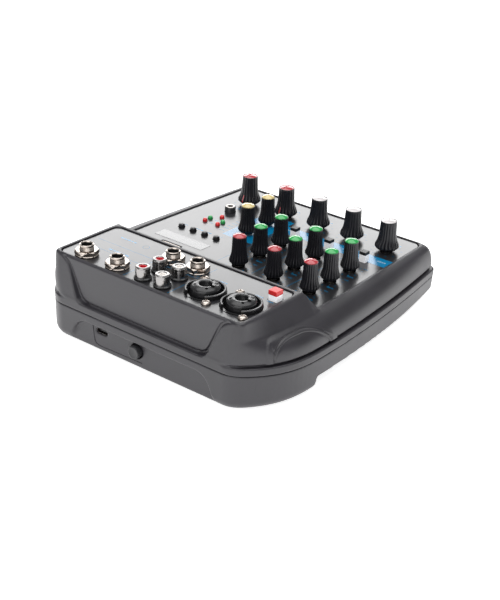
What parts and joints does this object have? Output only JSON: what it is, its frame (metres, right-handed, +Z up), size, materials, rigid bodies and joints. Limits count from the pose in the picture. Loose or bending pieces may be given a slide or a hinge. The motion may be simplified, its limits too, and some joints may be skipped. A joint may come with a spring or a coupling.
{
  "type": "mixing console",
  "caption": "Compact desktop audio mixer: sloping control panel with rotary knobs and push buttons, raised connector panel at the back, moulded plastic housing.",
  "frame": {"origin": "centre of the footprint on the ground, under the four rubber feet", "axes": "+Z up, +X to the right of the person using it, +Y towards the connectors at the back"},
  "size_m": [0.177, 0.1898, 0.061],
  "materials": {
    "housing": "fine spark-textured black housing plastic",
    "faceplate": null,
    "knob_plastic": "satin black with a coloured cap and pointer line",
    "socket_plastic": "semi-gloss black",
    "button_red": "red cap on a white stem",
    "nickel": "nickel plated",
    "rubber": "matt black rubber",
    "circuit_board": "green solder mask",
    "display_window": "dark smoked window",
    "led_lens": "tinted lenses, three red and two green"
  },
  "bodies": {
    "console": {"top_shell": "housing", "bottom_shell": "housing", "control_panel": "faceplate", "connector_panel": "faceplate", "main_board": "circuit_board", "connector_board": "circuit_board", "power_board": "circuit_board", "display_window": "display_window", "display_module": "socket_plastic", "usb_audio_socket": "nickel", "phones_jack": "socket_plastic", "usb_power_socket": "nickel", "led_cluster": "led_lens", "rca_pair_left": "nickel", "rca_pair_right": "nickel", "main_out_jack_left": "nickel", "main_out_jack_right": "nickel", "line_in_jack_3": "nickel", "line_in_jack_4": "nickel", "main_out_nut_left": "nickel", "main_out_nut_right": "nickel", "line_in_nut_3": "nickel", "line_in_nut_4": "nickel", "combo_socket_1_screw_front": "nickel", "combo_socket_1_screw_rear": "nickel", "combo_socket_2_screw_front": "nickel", "combo_socket_2_screw_rear": "nickel", "combo_socket_1": "socket_plastic", "combo_socket_2": "socket_plastic", "foot_front_left": "rubber", "foot_front_right": "rubber", "foot_rear_left": "rubber", "foot_rear_right": "rubber"},
    "gain_knob_ch1": {"gain_knob_ch1": "knob_plastic"},
    "treble_knob_ch1": {"treble_knob_ch1": "knob_plastic"},
    "bass_knob_ch1": {"bass_knob_ch1": "knob_plastic"},
    "level_knob_ch1": {"level_knob_ch1": "knob_plastic"},
    "gain_knob_ch2": {"gain_knob_ch2": "knob_plastic"},
    "treble_knob_ch2": {"treble_knob_ch2": "knob_plastic"},
    "bass_knob_ch2": {"bass_knob_ch2": "knob_plastic"},
    "level_knob_ch2": {"level_knob_ch2": "knob_plastic"},
    "gain_knob_ch3": {"gain_knob_ch3": "knob_plastic"},
    "treble_knob_ch3": {"treble_knob_ch3": "knob_plastic"},
    "bass_knob_ch3": {"bass_knob_ch3": "knob_plastic"},
    "level_knob_ch3": {"level_knob_ch3": "knob_plastic"},
    "echo_delay_knob": {"echo_delay_knob": "knob_plastic"},
    "echo_repeat_knob": {"echo_repeat_knob": "knob_plastic"},
    "phones_level_knob": {"phones_level_knob": "knob_plastic"},
    "main_level_knob": {"main_level_knob": "knob_plastic"},
    "effect_button_ch1": {"effect_button_ch1": "socket_plastic"},
    "effect_button_ch2": {"effect_button_ch2": "socket_plastic"},
    "effect_button_ch3": {"effect_button_ch3": "socket_plastic"},
    "phantom_button": {"phantom_button": "button_red"},
    "player_button_1": {"player_button_1": "socket_plastic"},
    "player_button_2": {"player_button_2": "socket_plastic"},
    "player_button_3": {"player_button_3": "socket_plastic"},
    "player_button_4": {"player_button_4": "socket_plastic"},
    "power_button": {"power_button": "socket_plastic"}
  },
  "joints": [
    {"name": "gain_ch1_turn", "type": "hinge", "parent": "console", "child": "gain_knob_ch1", "pos_m": [-0.0573, 0.01318, 0.0381], "axis": [0, -0.061, 0.9981], "range_deg": [-300, 0]},
    {"name": "treble_ch1_turn", "type": "hinge", "parent": "console", "child": "treble_knob_ch1", "pos_m": [-0.0573, -0.00673, 0.03689], "axis": [0, -0.061, 0.9981], "range_deg": [0, 300]},
    {"name": "bass_ch1_turn", "type": "hinge", "parent": "console", "child": "bass_knob_ch1", "pos_m": [-0.0573, -0.02664, 0.03567], "axis": [0, -0.061, 0.9981], "range_deg": [0, 300]},
    {"name": "level_ch1_turn", "type": "hinge", "parent": "console", "child": "level_knob_ch1", "pos_m": [-0.0573, -0.06567, 0.03328], "axis": [0, -0.061, 0.9981], "range_deg": [-300, 0]},
    {"name": "gain_ch2_turn", "type": "hinge", "parent": "console", "child": "gain_knob_ch2", "pos_m": [-0.0316, 0.01318, 0.0381], "axis": [0, -0.061, 0.9981], "range_deg": [-300, 0]},
    {"name": "treble_ch2_turn", "type": "hinge", "parent": "console", "child": "treble_knob_ch2", "pos_m": [-0.0316, -0.00673, 0.03689], "axis": [0, -0.061, 0.9981], "range_deg": [0, 300]},
    {"name": "bass_ch2_turn", "type": "hinge", "parent": "console", "child": "bass_knob_ch2", "pos_m": [-0.0316, -0.02664, 0.03567], "axis": [0, -0.061, 0.9981], "range_deg": [0, 300]},
    {"name": "level_ch2_turn", "type": "hinge", "parent": "console", "child": "level_knob_ch2", "pos_m": [-0.0316, -0.06567, 0.03328], "axis": [0, -0.061, 0.9981], "range_deg": [-300, 0]},
    {"name": "gain_ch3_turn", "type": "hinge", "parent": "console", "child": "gain_knob_ch3", "pos_m": [-0.0059, 0.01318, 0.0381], "axis": [0, -0.061, 0.9981], "range_deg": [-300, 0]},
    {"name": "treble_ch3_turn", "type": "hinge", "parent": "console", "child": "treble_knob_ch3", "pos_m": [-0.0059, -0.00673, 0.03689], "axis": [0, -0.061, 0.9981], "range_deg": [0, 300]},
    {"name": "bass_ch3_turn", "type": "hinge", "parent": "console", "child": "bass_knob_ch3", "pos_m": [-0.0059, -0.02664, 0.03567], "axis": [0, -0.061, 0.9981], "range_deg": [0, 300]},
    {"name": "level_ch3_turn", "type": "hinge", "parent": "console", "child": "level_knob_ch3", "pos_m": [-0.0059, -0.06567, 0.03328], "axis": [0, -0.061, 0.9981], "range_deg": [-300, 0]},
    {"name": "echo_delay_turn", "type": "hinge", "parent": "console", "child": "echo_delay_knob", "pos_m": [0.0198, -0.02664, 0.03567], "axis": [0, -0.061, 0.9981], "range_deg": [0, 300]},
    {"name": "echo_repeat_turn", "type": "hinge", "parent": "console", "child": "echo_repeat_knob", "pos_m": [0.0198, -0.04656, 0.03445], "axis": [0, -0.061, 0.9981], "range_deg": [0, 300]},
    {"name": "phones_level_turn", "type": "hinge", "parent": "console", "child": "phones_level_knob", "pos_m": [0.0198, -0.06567, 0.03328], "axis": [0, -0.061, 0.9981], "range_deg": [-150, 150]},
    {"name": "main_level_turn", "type": "hinge", "parent": "console", "child": "main_level_knob", "pos_m": [0.0495, -0.06567, 0.03328], "axis": [0, -0.061, 0.9981], "range_deg": [-150, 150]},
    {"name": "effect_ch1_press", "type": "slide", "parent": "console", "child": "effect_button_ch1", "axis": [0, -0.061, 0.9981], "range_m": [-0.0025, 0], "stiffness_N_per_m": 300},
    {"name": "effect_ch2_press", "type": "slide", "parent": "console", "child": "effect_button_ch2", "axis": [0, -0.061, 0.9981], "range_m": [-0.0025, 0], "stiffness_N_per_m": 300},
    {"name": "effect_ch3_press", "type": "slide", "parent": "console", "child": "effect_button_ch3", "axis": [0, -0.061, 0.9981], "range_m": [-0.0025, 0], "stiffness_N_per_m": 300},
    {"name": "phantom_press", "type": "slide", "parent": "console", "child": "phantom_button", "axis": [0, -0.061, 0.9981], "range_m": [-0.0025, 0], "stiffness_N_per_m": 300},
    {"name": "player_1_press", "type": "slide", "parent": "console", "child": "player_button_1", "axis": [0, -0.061, 0.9981], "range_m": [-0.0005, 0], "stiffness_N_per_m": 1500},
    {"name": "player_2_press", "type": "slide", "parent": "console", "child": "player_button_2", "axis": [0, -0.061, 0.9981], "range_m": [-0.0005, 0], "stiffness_N_per_m": 1500},
    {"name": "player_3_press", "type": "slide", "parent": "console", "child": "player_button_3", "axis": [0, -0.061, 0.9981], "range_m": [-0.0005, 0], "stiffness_N_per_m": 1500},
    {"name": "player_4_press", "type": "slide", "parent": "console", "child": "player_button_4", "axis": [0, -0.061, 0.9981], "range_m": [-0.0005, 0], "stiffness_N_per_m": 1500},
    {"name": "power_press", "type": "slide", "parent": "console", "child": "power_button", "axis": [0, 0.9981, 0.061], "range_m": [-0.0025, 0], "stiffness_N_per_m": 300}
  ]
}
